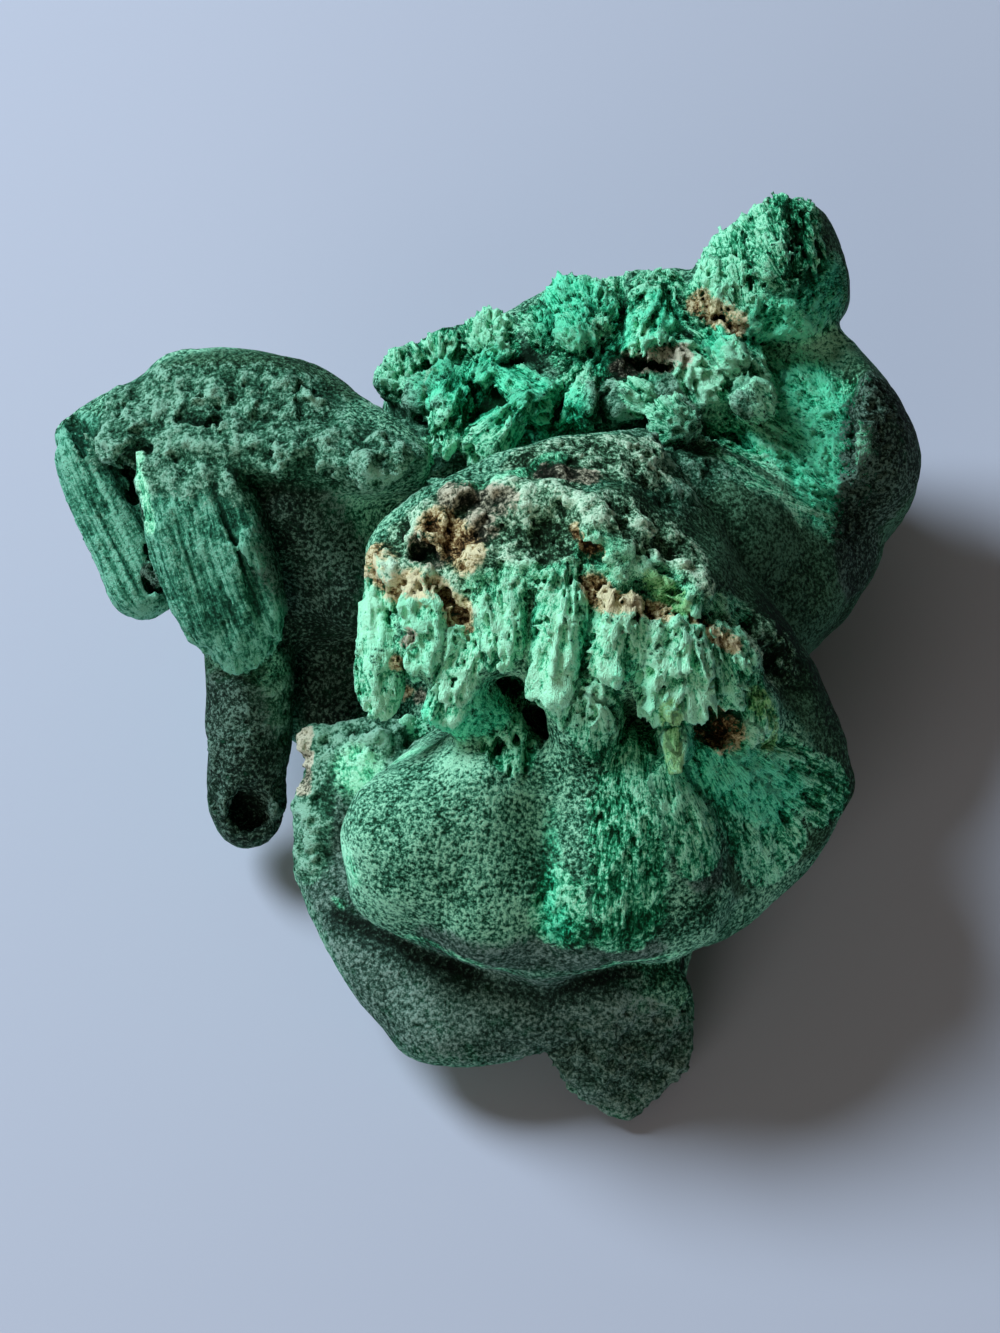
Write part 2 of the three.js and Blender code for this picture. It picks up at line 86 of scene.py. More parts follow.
FANS = [
    ((-10.2, 28.6), (-10.6, 30.2), 2.0, 0.6, 0.8),
    ((-6.3, 29.6), (-6.6, 32.4), 2.6, 0.6, 0.8),
    ((-1.2, 31.6), (-1.2, 35), 3.0, 0.6, 0.8),
    ((-3.6, 29.5), (-6, 22), 2.2, 0.6, 0.8),
    ((0, 32), (-2, 28.4), 2.0, 0.6, 0.8),
    ((-0.5, 30), (4.8, 25.8), 2.4, 0.6, 0.8),
    ((1.8, 26), (-2.5, 21), 2.6, 0.6, 0.8),
    ((9, 33), (7.6, 38.6), 4.2, 0.4, 0.8),
    ((11.4, 38.6), (9.8, 33), 1.6, 0.6, 0.7),
    ((4.6, 33), (3.6, 35), 2.0, 0.6, 0.8),
    ((8.8, 29.8), (6.4, 25), 2.2, 0.6, 0.8),
    ((15.8, 38.4), (14, 31.2), 2.6, 0.6, 0.8),
    ((20.4, 35.6), (20.6, 39.6), 2.6, 0.6, 0.8),
    ((24.4, 36), (22.2, 42.6), 3.0, 0.6, 0.8),
    ((28.6, 40), (26, 46), 3.4, 0.6, 0.8),
    ((30, 45.4), (31.6, 41), 2.4, 0.6, 0.8),
    ((18.4, 31.4), (21, 28.2), 2.4, 0.6, 0.8),
    ((17.6, 25), (14.4, 28), 2.6, 0.6, 0.8),
    ((24, 30), (21.6, 33.4), 2.4, 0.6, 0.8),
]
FACE = [
    ((34.8, 20), (26, 30), 5.0, 0.5, 0.6),
    ((35, 24), (35.4, 34), 4.5, 0.5, 0.6),
    ((33.6, 16), (24, 22), 4.0, 0.5, 0.6),
    ((34, 24), (30, 26), 5.0, 0.5, 0.6),
    ((33.6, 38), (27, 34), 3.4, 0.5, 0.6),
]
WING = [
    ((20, -7), (27, -18), 4.0, 1.0, 0.7),
    ((24, -8), (33, -13), 3.0, 1.0, 0.7),
    ((8, -9), (6.4, -25), 3.0, 1.0, 0.7),
    ((13, -8), (12.6, -25), 3.6, 1.0, 0.7),
    ((17, -9), (20, -18), 3.0, 1.0, 0.7),
]
RODS = [
    ((-43, 22), (-34.6, 6), 4.0, 12, 1.1),
    ((-31, 17), (-26, 2), 6.0, 12, 1.1),
]

# The groups of bundles, each with how far its strands stand out, how lumpy its bundles are and how deep the
# cracks between them are, and with a strand's width as a share of its length.
GROUPS = [
    (CLIFF, 0.55, 0.22, 0.6, 0.2),
    (FANS, 0.6, 0.1, 0.4, 0.12),
    (FACE, 0.34, 0.12, 0, 0.25),
    (WING, 0.2, 0.1, 0, 0.2),
    (RODS, 0.2, 0.06, 0, 0.03),
]

# Strokes of crust, which is lumpy and pitted. The crust at the foot has the colours of the velvet.
CREST_CRUST = [
    ((-12, 9.5), (6, 9), 3.6), ((-9, 13), (4, 17), 3.6), ((4, 20), (14, 21), 3.4), ((8, 9), (20, 6), 3.6),
    ((12, 14), (17, 11), 3.6), ((20, 6), (28, 1), 2.8), ((0, 13), (10, 14), 4),
]
LEFT_CRUST = [((-40, 23), (-10, 20), 5.0), ((-36, 26), (-20, 26), 4.0)]
UPPER_CRUST = [((-8, 26), (22, 28), 6.0), ((0, 32), (24, 34), 6.0), ((22, 26), (16, 20), 5.0)]
EDGE_CRUST = [((-18.6, -7.4), (-19.6, -19), 2.6), ((-17, -7), (-11, -7), 3.0)]
END_CRUST = [((-28, -14), (-22, -14), 2.6), ((-28, -8), (-22, -4), 3.0)]
PAINTED_CRUST = CREST_CRUST + LEFT_CRUST + UPPER_CRUST + EDGE_CRUST + END_CRUST
FOOT_CRUST = [((8, -41), (16, -38), 6.0)]
CRUSTS = PAINTED_CRUST + FOOT_CRUST

# Pits and cracks broken into the surface: a stroke, its radius and how far behind the surface its middle
# lies, seen from the eye. It is below zero where the middle lies in front.
PITS = [
    ((-6, 6.6), (-5.4, 6.8), 1.2, 0.4), ((-4.4, 5.6), (-3.2, 4.6), 0.8, 0.3),
    ((9, 11.6), (9.8, 10.8), 0.9, 0.5), ((10.4, 7.6), (12.2, 6.6), 0.8, 0.4),
    ((13.2, 5.4), (14.6, 4.8), 0.9, 0.4), ((20.4, -5), (21.4, -6.2), 2.0, -0.2),
    ((-7.8, 11.8), (-7.2, 11), 1.2, 0.5), ((22, 34.6), (22.6, 35.4), 1.2, 0.5),
    ((-42.8, 24.6), (-41.4, 21.4), 0.9, 0.4), ((-29.8, 24.6), (-28.4, 24.4), 0.9, 0.4),
    ((14.4, 30.4), (16.2, 29.8), 1.2, 0.5), ((12.4, 29), (13.4, 29.2), 0.8, 0.4),
    ((-37.4, 21), (-34.8, 8.2), 1.2, 0.9), ((-31.4, 3.4), (-28.6, -0.8), 0.6, 0.1),
    ((-28.6, -0.8), (-25, -1.4), 0.7, 0.1), ((-25, -1.4), (-21.4, 2.6), 0.7, 0.1),
    ((5.2, -4.4), (4.4, -9.6), 0.9, 0.2), ((4.4, -9.6), (4.2, -13), 0.5, -0.1),
    ((-26.2, -14.2), (-25.6, -14.6), 1.9, 0.4),
]

# Swellings, such as where the two front lobes run into each other: a stroke, its radius and how far behind
# the surface its middle lies, seen from the eye.
SWELLINGS = [
    ((-32.4, 28.4), (-20.6, 27.2), 2.4, 1.6), ((4.6, -21), (4.6, -27), 4.6, 5.0),
    ((2.6, 13.4), (6.6, 13.2), 2.6, 2.2), ((9, -6), (8.6, -11), 1.8, 1.8),
    ((1.2, -6.5), (2, -11), 1.8, 1.8),
]

# The rim of the two front lobes, where they bulge over the lower lobe. Strokes along it paint a highlight on
# the rim and shade in the crease under it.
RIM = [(-16.2, -23.4), (-8, -27.5), (-2.7, -29.3), (5, -30.9), (11, -29.7), (19, -28.4)]


def along_rim(drop, radius):
    """Strokes that follow the rim a drop below it."""
    spots = [(right, up - drop) for right, up in RIM]
    return [(start, end, radius) for start, end in zip(spots, spots[1:])]


# Strokes of colour. Iron is rusty and tan, ash the grey of weathered crust, olive the dark green of old skin
# together with painted shade on sides turned from the light, mint the palest green together with a painted
# highlight along the rim of the front lobes, lime the yellowish green of some tips, skin painted shade on the
# right side of the right lobe and in the crack between the rods, lush the most saturated green, grey the
# greyish velvet low down, and dark the nearly black green of the dark stalactite together with painted shade
# in the cavity, the slit between the front lobes and the crease under their rim.
IRON = [
    ((-12.6, 10.8), (-9, 7.4), 1.9), ((-8.4, 8), (-3.2, 4.4), 2.0), ((-6, 14), (-3.6, 11.4), 2.2),
    ((8, 13.8), (9.6, 11.2), 1.0), ((9.2, 8), (11.6, 6), 1.4), ((12.6, 6.8), (16, 5), 1.4),
    ((20.4, -5), (22.6, -6.8), 2.0), ((20, 36.4), (23.4, 34.4), 1.6), ((18.8, 4.6), (23.4, 2.4), 1.1),
    ((-10.4, 0.4), (-9.4, -2.4), 0.9),
]
ASH = [
    ((-5, 17.4), (0.4, 16.4), 1.8), ((4.6, 19.6), (9, 18.8), 1.3), ((12.4, 30), (18, 31), 1.5),
    ((-9.2, 3), (-8.2, -3), 0.9), ((-19.8, -6.6), (-19.8, -12), 1.2), ((-7, 12), (-2, 14), 2.2),
]
# Dark olive green of old skin, with painted shade on the right side of the right lobe and of the spike and on
# the lower right of the wing.
OLIVE_AND_SHADE = [
    ((41, 28), (41, 16), 12.0), ((33, 4), (34, -4), 7.0), ((21, 17.4), (31, 11.4), 2.6),
    ((14, 15), (28, 2), 4.4), ((20, 14), (32, 4), 5.0), ((26, 8), (33, 11), 4.0), ((26, 3), (33, -5), 3.4),
    ((33, -4), (36, -12), 2.6), ((-33, 31.6), (-17, 29), 4.2), ((-22, 14), (-18, 6), 5.0),
    ((-28, -3), (-22, -12), 5.0), ((2, 15.4), (6, 12.6), 3.2), ((24, -20), (32, -16), 3.0),
    ((33, 45), (34.6, 38), 3.0), ((34, 40), (36, 36), 2.6), ((3.4, 26), (5.6, 30.4), 2.2),
]
# Palest green of fresh fibres; the stroke along the rim of the front lobes is a painted highlight.
MINT_AND_HIGHLIGHT = [
    ((-12.8, 9), (-12.2, -4.4), 1.7), ((0.3, 7), (0, 1), 1.4), ((5.8, 5), (4.6, -3), 2.2),
    ((16, 1), (20, -3), 2.8), ((-3, 1), (-5.6, -5), 1.6), ((10.8, 3), (9.6, -4), 2.0),
    ((9, 12), (17, 8), 2.2), ((-2, 8), (6, 8.6), 2.0), ((-5, 17.8), (6, 21), 1.0),
    ((11, 38.6), (9.8, 33.6), 1.3), ((-7, 29), (-6.4, 22), 1.0), ((14.6, 36), (13.6, 31), 1.0),
    ((20, 30), (22, 26), 2.0), ((12, 4), (19, 2), 2.4), ((17.4, -5), (17.6, -10), 1.0),
    ((25.4, -3), (26, -7), 1.4), ((0, 23), (-2.4, 21), 1.2), ((20, 23.4), (30, 15), 0.9),
    ((13, 10), (24, 5), 1.6), ((-14.8, -10), (-15.4, -20), 2.4), ((-14, -10), (-8, -8.4), 1.8),
    ((-36.4, 21), (-35, 14), 0.8), *along_rim(0, 0.6), ((26.6, 26.2), (27.2, 25.6), 0.8),
    ((24.5, 18.4), (33.5, 14.4), 0.6), ((12, 3), (11, -2), 1.6),
]
LIME = [
    ((17, -4), (17.4, -10), 1.1), ((25.8, -3.2), (26.8, -7.4), 1.3), ((15.6, 8.4), (18, 6), 1.4),
]
# Painted shade: the right side of the right lobe, turned from the light, and the crack between the rods.
PAINTED_SHADE = [
    ((-37.5, 20.6), (-35, 8.4), 0.8), ((37.8, 34), (39.2, 26), 3.8), ((39.2, 26), (38.8, 18), 4.8),
    ((38.8, 18), (36, 11), 4.4),
]
LUSH = [
    ((30, 28), (32, 17), 4.0), ((27, 34), (33, 38), 3.0), ((-4, 29), (4, 25), 5.0),
    ((6, 37), (11, 33), 4.0), ((33, 26), (34, 18), 2.6), ((22, 33), (21, 31), 1.6),
    ((5, -14), (6, -26), 1.7), ((20, -9), (28, -13), 3.4), ((-6, -6), (0, -4), 2.6),
    ((16, 36), (14, 30), 3.0), ((24, 22), (32, 18), 2.2), ((5, 4), (12, 0), 3.0),
]
GREY = [
    ((18.4, -18), (21, -20.6), 2.2), ((-17, -18), (-12, -30), 5.0), ((-10, -33), (8, -35), 6.0),
    ((9, -37), (16, -42), 7.0), ((24, -20), (32, -16), 3.0), ((-19, -8), (-19, -18), 3.0),
    ((-6, -28), (14, -29), 2.6),
]
# Nearly black green of the dark stalactite, and painted shade in the cavity, in the slit between the front
# lobes and in the crease under their rim.
DARK_AND_SHADE = [
    ((-27.6, -5.2), (-25, -14), 4.6), ((-20, 12), (-16, 2), 6.0), ((-19, 2), (-17, -4), 4.0),
    ((4, -5), (4.8, -9), 1.6), *along_rim(1.4, 0.7),
]

# Strokes that lift or lower the grain's tone. The paler ones are mostly painted light on places that the lamp
# hardly reaches, such as the broken cliff, the right-hand face and a rusty pit, and in places a paler grain,
# such as the whitish crust at the left edge. The deeper ones are painted shade on the right flank of the left
# front lobe, under the rim of the front lobes and in cracks.
PALER_AND_PAINTED_LIGHT = [
    ((-10, 2), (4, 0), 6.0), ((4, 0), (20, 0), 6.0), ((28, 30), (31, 20), 6.5),
    ((-13, -9.6), (-14.6, -20), 3.0), ((-12, -8.6), (-4, -9), 2.6), ((14, 2), (19, -2), 2.4),
    ((-19, -8), (-19.8, -18), 1.8), ((26.4, 26.4), (27.4, 25.4), 0.8), ((21.2, -6), (22.6, -7), 1.6),
    ((12, 27), (22, 31), 3.0), ((24, -10), (26, -13.6), 3.0),
]
# Painted shade on the right flank of the left front lobe, under the rim of the front lobes and in cracks.
DEEPER_AND_PAINTED_SHADE = [
    ((2.6, -7), (3.4, -22), 1.8), ((8, -27), (20, -25), 1.8), *along_rim(2, 1.4),
    ((-1, 0), (2.6, -3.6), 1.2), ((-10.2, 2), (-9.8, -5), 0.9), ((28, 4), (38, 0), 4.0),
    ((0, 26), (3, 31), 1.6), ((8, 24), (12, 30), 2.0), ((29, 45), (30, 39), 2.4),
]

# The strokes that the mesh stores as masks, by the names that the material reads them by. The mask named skin
# holds painted shade.
KINDS = {
    "fibre": CLIFF + FANS + FACE + WING, "rods": RODS, "crust": PAINTED_CRUST, "crest": CREST_CRUST,
    "iron": IRON, "ash": ASH, "olive_and_shade": OLIVE_AND_SHADE, "mint_and_highlight": MINT_AND_HIGHLIGHT, "lush": LUSH, "grey": GREY, "dark_and_shade": DARK_AND_SHADE,
    "lime": LIME, "skin": PAINTED_SHADE, "paler_and_painted_light": PALER_AND_PAINTED_LIGHT, "deeper_and_painted_shade": DEEPER_AND_PAINTED_SHADE,
}


def sight(right, up):
    """The direction of the sight line through right and up."""
    aim = np.array([right, up * math.sin(EYE_ELEVATION), MIDDLE + up * math.cos(EYE_ELEVATION)])
    return (aim - EYE) / np.linalg.norm(aim - EYE)


def solid_arrays():
    """The CAD solid's vertices in millimetres, and its triangles."""
    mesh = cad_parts[NODE].data
    mesh.calc_loop_triangles()
    points = np.empty(3 * len(mesh.vertices), np.float32)
    mesh.vertices.foreach_get("co", points)
    corners = np.empty(3 * len(mesh.loop_triangles), np.int32)
    mesh.loop_triangles.foreach_get("vertices", corners)
    return points.reshape(-1, 3) / MM, corners.reshape(-1, 3)


solid_points, solid_triangles = solid_arrays()
solid_tree = BVHTree.FromPolygons(solid_points.tolist(), solid_triangles.tolist())


def spot(right, up):
    """Where the sight line through right and up first meets the solid, or comes nearest to it."""
    way = sight(right, up)
    hit = solid_tree.ray_cast(Vector(EYE), Vector(way))[0]
    if hit is None:
        hit = solid_tree.find_nearest(Vector(EYE + EYE_DISTANCE * way))[0]
    return np.array(hit, np.float32)


def fine_axis(low, high):
    """The grid's first index along an axis, and its coordinates."""
    first = math.floor((low - MARGIN) / VOXEL)
    last = math.ceil((high + MARGIN) / VOXEL)
    return first, VOXEL * np.arange(first, last + 1, dtype=np.float32)


spans = [fine_axis(*span) for span in zip(solid_points.min(axis=0), solid_points.max(axis=0))]
first_index = tuple(span[0] for span in spans)
fine_axes = [span[1] for span in spans]
coarse_axes = [np.arange(axis[0], axis[-1] + COARSE, COARSE, dtype=np.float32) for axis in fine_axes]
corner = np.array([axis[0] for axis in fine_axes], np.float32)
shape = [len(axis) for axis in fine_axes]


def resampled(field, sources, targets, weigh, reach):
    """One grid's field on another grid. Along each axis a value is the mean of the nearest entry and of as
    many as reach on each side of it, weighed by how far away they are."""
    for axis, (source, target) in enumerate(zip(sources, targets)):
        spacing = source[1] - source[0]
        middle = np.rint((target - source[0]) / spacing).astype(np.int32)
        sides = [-1 if axis == k else 1 for k in range(3)]
        total = 0
        whole = 0
        for step in range(-reach, reach + 1):
            weight = weigh(target - source[0] - spacing * (middle + step)).astype(np.float32)
            nearby = np.take(field, np.clip(middle + step, 0, len(source) - 1), axis=axis)
            total = total + nearby * weight.reshape(sides)
            whole = whole + weight
        field = total / whole.reshape(sides)
    return field


# How far from its middle a bell is counted, in widths.
BELL_REACH = 2.4


def bell(width):
    """Weights that fade with distance as a bell of a width does."""
    return lambda away: np.exp(-0.5 * (away / width) ** 2)


def blurred(field, width):
    """The field smoothed over a width."""
    return resampled(field, fine_axes, fine_axes, bell(width), round(BELL_REACH * width / VOXEL))


def from_coarse(field):
    """A field of the coarse grid on the fine one."""
    return resampled(field, coarse_axes, fine_axes, lambda away: np.maximum(0, 1 - np.abs(away) / COARSE), 1)


# The least square of a line's length, so that a line between two equal places does no harm.
LEAST_SQUARE = 1e-6


def to_line(points, start, end):
    """How far points are from the line between two places."""
    way = end - start
    share = np.clip((points - start) @ way / max(way @ way, LEAST_SQUARE), 0, 1)
    return np.linalg.norm(points - start - share[:, None] * way, axis=1)


# A stroke's mark before it is held between 0 and 1: what it is on the line, and what it loses over a radius.
MARK_HEIGHT = 1.8
MARK_SLOPE = 1.3


def marked(points, strokes):
    """How much each point lies within the strokes, from 0 to 1, fading at their rims."""
    most = np.zeros(len(points), np.float32)
    for start, end, radius, *_ in strokes:
        away = to_line(points, spot(*start), spot(*end)) / radius
        most = np.maximum(most, np.clip(MARK_HEIGHT - MARK_SLOPE * away, 0, 1))
    return most


# Smooth noise that repeats: a table with STEPS entries to each unit and UNITS units along each side. It is
# made from random numbers, smoothed over SOFTNESS units, that then vary by SPREAD.
STEPS = 6
UNITS = 20
SOFTNESS = 0.38
SPREAD = 0.5
SEED = 7

# How steeply ridged noise falls away from its ridges.
RIDGE_SLOPE = 2.4


def noise_table():
    """A cube of smooth noise between about -1 and 1 that repeats every UNITS units."""
    size = STEPS * UNITS
    white = np.random.default_rng(SEED).normal(size=(size, size, size)).astype(np.float32)
    for axis in range(3):
        white = sum(
            math.exp(-0.5 * (step / (SOFTNESS * STEPS)) ** 2) * np.roll(white, step, axis=axis)
            for step in range(-STEPS, STEPS + 1)
        )
    return SPREAD * white / white.std()


table = noise_table()


def mixed_corners(field, low, high, part):
    """The field between its entries at low and high, where part is the share of the way to high."""
    total = np.zeros(len(part), np.float32)
    for upper in np.ndindex(2, 2, 2):
        index = tuple((high if upper[axis] else low)[:, axis] for axis in range(3))
        weight = np.prod([part[:, axis] if upper[axis] else 1 - part[:, axis] for axis in range(3)], axis=0)
        total += weight * field[index]
    return total


def noise_at(places):
    """The table's noise at places, which are in units."""
    size = STEPS * UNITS
    low = np.floor(places * STEPS)
    part = (places * STEPS - low).astype(np.float32)
    low = low.astype(np.int32) % size
    return mixed_corners(table, low, (low + 1) % size, part)


def ridged(places):
    """Noise with sharp ridges between round hollows; minus it has sharp cracks between round bumps."""
    return 1 - RIDGE_SLOPE * np.abs(noise_at(places))


def layered(points, layers):
    """The sum of layers of noise at points. A layer is its weight, its kind, the size of its waves and how
    far it is shifted in the table."""
    return sum(weight * noise(points / size + shift) for weight, noise, size, shift in layers)


def sampled(field, points):
    """A fine field's values at points, by straight-line interpolation."""
    scaled = (points - corner) / VOXEL
    low = np.clip(np.floor(scaled).astype(np.int32), 0, np.array(field.shape) - 2)
    part = np.clip(scaled - low, 0, 1).astype(np.float32)
    return mixed_corners(field, low, low + 1, part)


# How far the fibres' common centre lies under the surface.
UNDER = 2.5

# How wide the cracks between bundles are, in radii, and a distance in radii that no bundle reaches.
CRACK_WIDTH = 0.22
OUT_OF_REACH = 9.0

# How far the noise of each bundle is shifted from that of the one before it.
BUNDLE_SHIFT = 3.7


def strands(points):
    """For each point: its place in noise drawn out along the fibres of the nearest bundle, how far those
    strands stand out, how lumpy they are, and how deep the crack to the next bundle is there."""
    nearest = np.full(len(points), OUT_OF_REACH, np.float32)
    second = np.full(len(points), OUT_OF_REACH, np.float32)
    drawn = np.zeros((len(points), 3), np.float32)
    stand = np.zeros(len(points), np.float32)
    lump = np.zeros(len(points), np.float32)
    depth = np.zeros(len(points), np.float32)
    number = 0
    for bundles, standing, lumpy, crack, drawing in GROUPS:
        for root, tip, radius, behind, width in bundles:
            number += 1
            start, end = spot(*root), spot(*tip)
            away = to_line(points, start, end) / radius
            closer = away < nearest
            second = np.where(closer, nearest, np.minimum(second, away))
            nearest = np.where(closer, away, nearest)
            length = np.linalg.norm(end - start)
            arm = points[closer] - (start + behind * (start - end) - UNDER * BACK)
            reach = np.linalg.norm(arm, axis=1, keepdims=True)
            halfway = (0.5 + behind) * length + UNDER
            along = drawing * reach * (end - start) / length
            drawn[closer] = (arm / reach * halfway + along) / width + BUNDLE_SHIFT * number
            stand[closer] = standing
            lump[closer] = lumpy
            depth[closer] = crack
    return drawn, stand, lump, depth * np.clip(1 - (second - nearest) / CRACK_WIDTH, 0, 1)


placing = openvdb.createLinearTransform(voxelSize=VOXEL)
coarse_points = np.stack(np.meshgrid(*coarse_axes, indexing="ij"), axis=-1).reshape(-1, 3)


def mask_of(strokes):
    """The strokes' mask on the fine grid."""
    return from_coarse(marked(coarse_points, strokes).reshape([len(axis) for axis in coarse_axes]))


def solid_field():
    """Distances from the solid's surface in millimetres on the fine grid, negative inside."""
    level = openvdb.FloatGrid.createLevelSetFromPolygons(
        solid_points, triangles=solid_triangles.astype(np.uint32), transform=placing, halfWidth=BAND / VOXEL
    )
    field = np.zeros(shape, np.float32)
    level.copyToArray(field, ijk=first_index)
    return field


def nearby(centre, reach):
    """The part of the fine grid within a reach of a place, and how far its points are from the place."""
    part = []
    squares = 0
    for axis, (values, middle) in enumerate(zip(fine_axes, centre)):
        low, high = np.searchsorted(values, [middle - reach, middle + reach])
        sides = [-1 if axis == k else 1 for k in range(3)]
        squares = squares + ((values[low:high] - middle) ** 2).reshape(sides)
        part.append(slice(low, high))
    return tuple(part), np.sqrt(squares)


def between(start, end, spacing):
    """Places along the line between two, about a spacing apart."""
    start, end = np.array(start, float), np.array(end, float)
    count = 2 + int(np.linalg.norm(end - start) / spacing)
    return [start * (1 - share) + end * share for share in np.linspace(0, 1, count)]


# Swellings and pits are rows of balls. How far apart a swelling's balls are, and a pit's as a share of their
# radius, how far beyond its radius a ball is worked out, and how softly a swelling runs into the surface.
SWELLING_SPACING = 2.0
SWELLING_REACH = 3
SWELLING_BLEND = 2.0
PIT_SPACING = 0.5
PIT_REACH = 2


def swell(field):
    """Runs the swellings into a field."""
    for start, end, radius, sink in SWELLINGS:
        for place in between(spot(*start), spot(*end), SWELLING_SPACING):
            part, away = nearby(place - sink * BACK, radius + SWELLING_REACH)
            old, ball = field[part], away - radius
            field[part] = 0.5 * (old + ball - np.sqrt((old - ball) ** 2 + SWELLING_BLEND))


def break_out(field):
    """Breaks the pits and cracks out of a field."""
    for start, end, radius, sink in PITS:
        for right, up in between(start, end, PIT_SPACING * radius):
            part, away = nearby(spot(right, up) - sink * BACK, radius + PIT_REACH)
            field[part] = np.maximum(field[part], radius - away)


# How far velvet is smoothed, how far from the surface the relief is worked out, and the least share of fibre
# that has strands.
VELVET_BLUR = 1.0
RELIEF_BAND = 1.8
LEAST_FIBRE = 0.02

# Layers of noise: velvet's, the crust's coarse and fine ones, and those that make bundles lumpy.
VELVET_LAYERS = [(0.2, noise_at, 3.1, 0), (0.05, noise_at, 0.6, 0)]
CRUST_COARSE = [(0.24, noise_at, 2.2, 0), (0.18, ridged, 1.5, 0), (-0.12, ridged, 0.9, 7)]
CRUST_FINE = [(0.2, ridged, 0.6, 2), (0.16, noise_at, 0.4, 0)]
BUNDLE_LAYERS = [(1.2, noise_at, 1.9, 1), (0.7, noise_at, 0.9, 3)]

# How far crust is lowered, and the share of its lumps that fibres take away.
CRUST_SINK = 0.1
FIBRE_OVER_CRUST = 0.85

# Finer strands on the strands: their share, how many there are to a strand, and their shift in the table.
# Fray is a fine noise across them all: its share and the size of its waves.
FINER_SHARE = 0.7
FINER_NUMBER = 2.1
FINER_SHIFT = 5.1
FRAY_SHARE = 0.5
FRAY_SIZE = 0.4


def fibre_relief(points):
    """How far bundles of fibres stand out at points, with the cracks between them."""
    drawn, stand, lump, crack = strands(points)
    finer = ridged(FINER_NUMBER * drawn + FINER_SHIFT)
    relief = stand * (ridged(drawn) + FINER_SHARE * finer) - crack
    relief += lump * layered(points, BUNDLE_LAYERS)
    return relief + FRAY_SHARE * stand * noise_at(points / FRAY_SIZE)


def carved():
    """The specimen's surface as a field on the fine grid, and the smooth surface under its relief."""
    plain = solid_field()
    swell(plain)
    soft = blurred(plain, VELVET_BLUR)
    fibre = mask_of([stroke for bundles, *_ in GROUPS for stroke in bundles])
    crust = mask_of(CRUSTS)
    velvet = (1 - fibre) * (1 - crust)
    surface = plain + velvet * (soft - plain)
    break_out(surface)
    near = np.flatnonzero(np.abs(surface.ravel()) < RELIEF_BAND)
    points = np.stack([axis[i] for axis, i in zip(fine_axes, np.unravel_index(near, shape))], axis=1)
    relief = velvet.ravel()[near] * layered(points, VELVET_LAYERS)
    lumps = layered(points, CRUST_COARSE)
    lumps += layered(points, CRUST_FINE) - CRUST_SINK
    relief += (crust * (1 - FIBRE_OVER_CRUST * fibre)).ravel()[near] * lumps
    shares = fibre.ravel()[near]
    fibrous = shares > LEAST_FIBRE
    relief[fibrous] += shares[fibrous] * fibre_relief(points[fibrous])
    surface.ravel()[near] -= relief
    return np.maximum(surface, -fine_axes[2][None, None, :]), soft


def largest_shell(points, quads):
    """The points and quads of the shell with the most points, found by spreading the lowest number of each
    shell's points along its edges."""
    ends = np.concatenate([quads[:, [k, (k + 1) % 4]] for k in range(4)])
    label = np.arange(len(points))
    while True:
        lower = np.minimum(label[ends[:, 0]], label[ends[:, 1]])
        fresh = label.copy()
        np.minimum.at(fresh, ends[:, 0], lower)
        np.minimum.at(fresh, ends[:, 1], lower)
        fresh = fresh[fresh]
        if (fresh == label).all():
            break
        label = fresh
    names, sizes = np.unique(label, return_counts=True)
    kept = label == names[sizes.argmax()]
    renumbered = np.cumsum(kept) - 1
    return points[kept], renumbered[quads[kept[quads[:, 0]]]]


def mesh_object(name, points, faces):
    """A new object from points in millimetres and faces with the same number of corners."""
    mesh = bpy.data.meshes.new(name)
    sides = faces.shape[1]
    mesh.vertices.add(len(points))
    mesh.vertices.foreach_set("co", (points * MM).astype(np.float32).ravel())
    mesh.loops.add(faces.size)
    mesh.loops.foreach_set("vertex_index", faces.astype(np.int32).ravel())
    mesh.polygons.add(len(faces))
    mesh.polygons.foreach_set("loop_start", sides * np.arange(len(faces), dtype=np.int32))
    mesh.update(calc_edges=True)
    piece = bpy.data.objects.new(name, mesh)
    bpy.context.scene.collection.objects.link(piece)
    return piece


def volume(points, quads):
    """The volume that quads enclose, below zero where they point inwards."""
    first, second, third, fourth = [points[quads[:, k]] for k in range(4)]
    return (np.cross(third - first, fourth - second) * (first + third)).sum() / 12


def skin_of(field):
    """The field's surface as one closed object with no more than MOST_TRIANGLES."""
    grid = openvdb.FloatGrid(BAND)
    grid.transform = placing
    grid.copyFromArray(np.clip(field, -BAND, BAND), ijk=first_index)
    points, quads = grid.convertToQuads()
    points, quads = largest_shell(points.astype(float), quads.astype(int))
    points[:, 2] = np.maximum(points[:, 2], 0)
    if volume(points, quads) < 0:
        quads = quads[:, ::-1]
    piece = mesh_object("specimen", points, quads)
    decimate = piece.modifiers.new("fewer faces", "DECIMATE")
    decimate.ratio = min(1, MOST_TRIANGLES / (2 * len(quads)))
    decimate.use_collapse_triangulate = True
    lighter = bpy.data.meshes.new_from_object(piece.evaluated_get(bpy.context.evaluated_depsgraph_get()))
    piece.modifiers.clear()
    piece.data = lighter
    return piece


def points_of(mesh):
    """A mesh's points in millimetres."""
    points = np.empty(3 * len(mesh.vertices), np.float32)
    mesh.vertices.foreach_get("co", points)
    return points.reshape(-1, 3) / MM


def add_values(mesh, name, values):
    """Stores a number, or a vector of three, at each of a mesh's points."""
    kind, key = ("FLOAT", "value") if values.ndim == 1 else ("FLOAT_VECTOR", "vector")
    mesh.attributes.new(name, kind, "POINT").data.foreach_set(key, values.astype(np.float32).ravel())


def add_masks(mesh, soft):
    """Stores what the material reads at each of a mesh's points: the relief, the strands and the strokes."""
    places = points_of(mesh)
    add_values(mesh, "relief", sampled(soft, places))
    add_values(mesh, "strand", strands(places)[0])
    for name, strokes in KINDS.items():
        add_values(mesh, name, marked(places, strokes))


# How many octaves the noises of the paint have.
OCTAVES = 3.0


